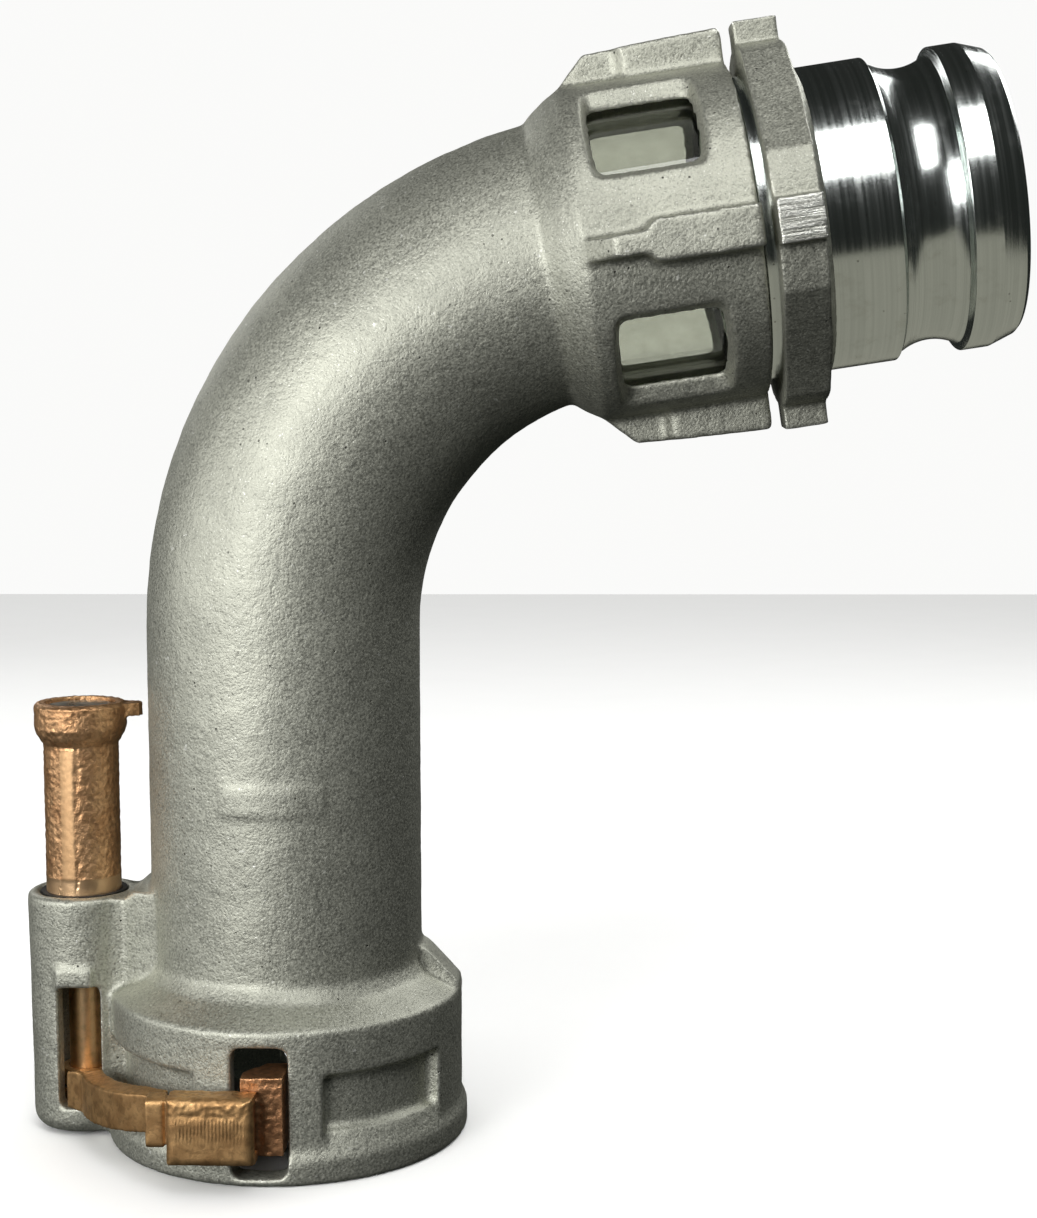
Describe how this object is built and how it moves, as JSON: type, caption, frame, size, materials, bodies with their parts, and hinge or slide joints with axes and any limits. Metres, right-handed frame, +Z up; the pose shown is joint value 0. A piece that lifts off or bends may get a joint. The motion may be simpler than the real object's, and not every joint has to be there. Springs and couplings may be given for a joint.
{
  "type": "camlock drop elbow",
  "caption": "Drop elbow for tank filling: grooved male camlock adapter and sight glass on the upper arm, jaw coupler with lift handle below.",
  "frame": {"origin": "centre of the coupler's bottom rim, on the coupler's axis", "axes": "+Z up the coupler and the straight tube, +X towards the upper arm's adapter, jaws close along Y, handle boss on -X"},
  "size_m": [0.4018, 0.176, 0.4507],
  "materials": {
    "cast_aluminium": "sand cast and bead blasted, matte, fine grain",
    "machined_aluminium": "turned and polished",
    "bronze_post": "rough cast bronze",
    "bronze_arm": "cast bronze, brown and smooth",
    "bronze_jaw": "cast bronze, reddish and hammered",
    "bronze_machined": "turned and polished bronze",
    "steel": "turned steel",
    "rubber": "black nitrile rubber",
    "glass": "clear sight glass"
  },
  "bodies": {
    "elbow": {"elbow_body": "cast_aluminium", "sight_glass": "glass", "glass_gasket_inner": "rubber", "glass_gasket_outer": "rubber", "camlock_adapter": "machined_aluminium", "coupler_gasket": "rubber", "upper_bush": "bronze_machined", "guide_key": "steel", "post_wiper_ring": "rubber", "return_spring": "steel", "thrust_washer": "steel"},
    "handle": {"handle_post": "bronze_post", "spring_seat_washer": "steel"},
    "front_arm_set": {"front_arm": "bronze_arm", "front_sleeve": "bronze_machined", "front_arm_key": "steel", "front_cam_pin": "steel", "front_jaw": "bronze_jaw", "front_jaw_pin": "steel", "hub_spacer": "steel"},
    "rear_arm_set": {"rear_arm": "bronze_arm", "spindle": "steel", "spindle_nut": "steel", "rear_arm_key": "steel", "rear_cam_pin": "steel", "rear_jaw": "bronze_jaw", "rear_jaw_pin": "steel"}
  },
  "joints": [
    {"name": "handle_lift", "type": "slide", "parent": "elbow", "child": "handle", "axis": [0, 0, 1], "range_m": [0, 0.012], "stiffness_N_per_m": 800, "springref_m": -0.008, "deforming": ["return_spring"]},
    {"name": "front_arm_swing", "type": "hinge", "parent": "elbow", "child": "front_arm_set", "pos_m": [-0.0847, 0, 0.0212], "axis": [0, 0, 1], "range_deg": [-6, 0]},
    {"name": "rear_arm_swing", "type": "hinge", "parent": "elbow", "child": "rear_arm_set", "pos_m": [-0.0847, 0, 0.0128], "axis": [0, 0, 1], "range_deg": [0, 6]}
  ],
  "couplings": [
    {"joint": "front_arm_swing", "follows": "handle_lift", "rad_per_m": -8.7266},
    {"joint": "rear_arm_swing", "follows": "handle_lift", "rad_per_m": 8.7266}
  ]
}
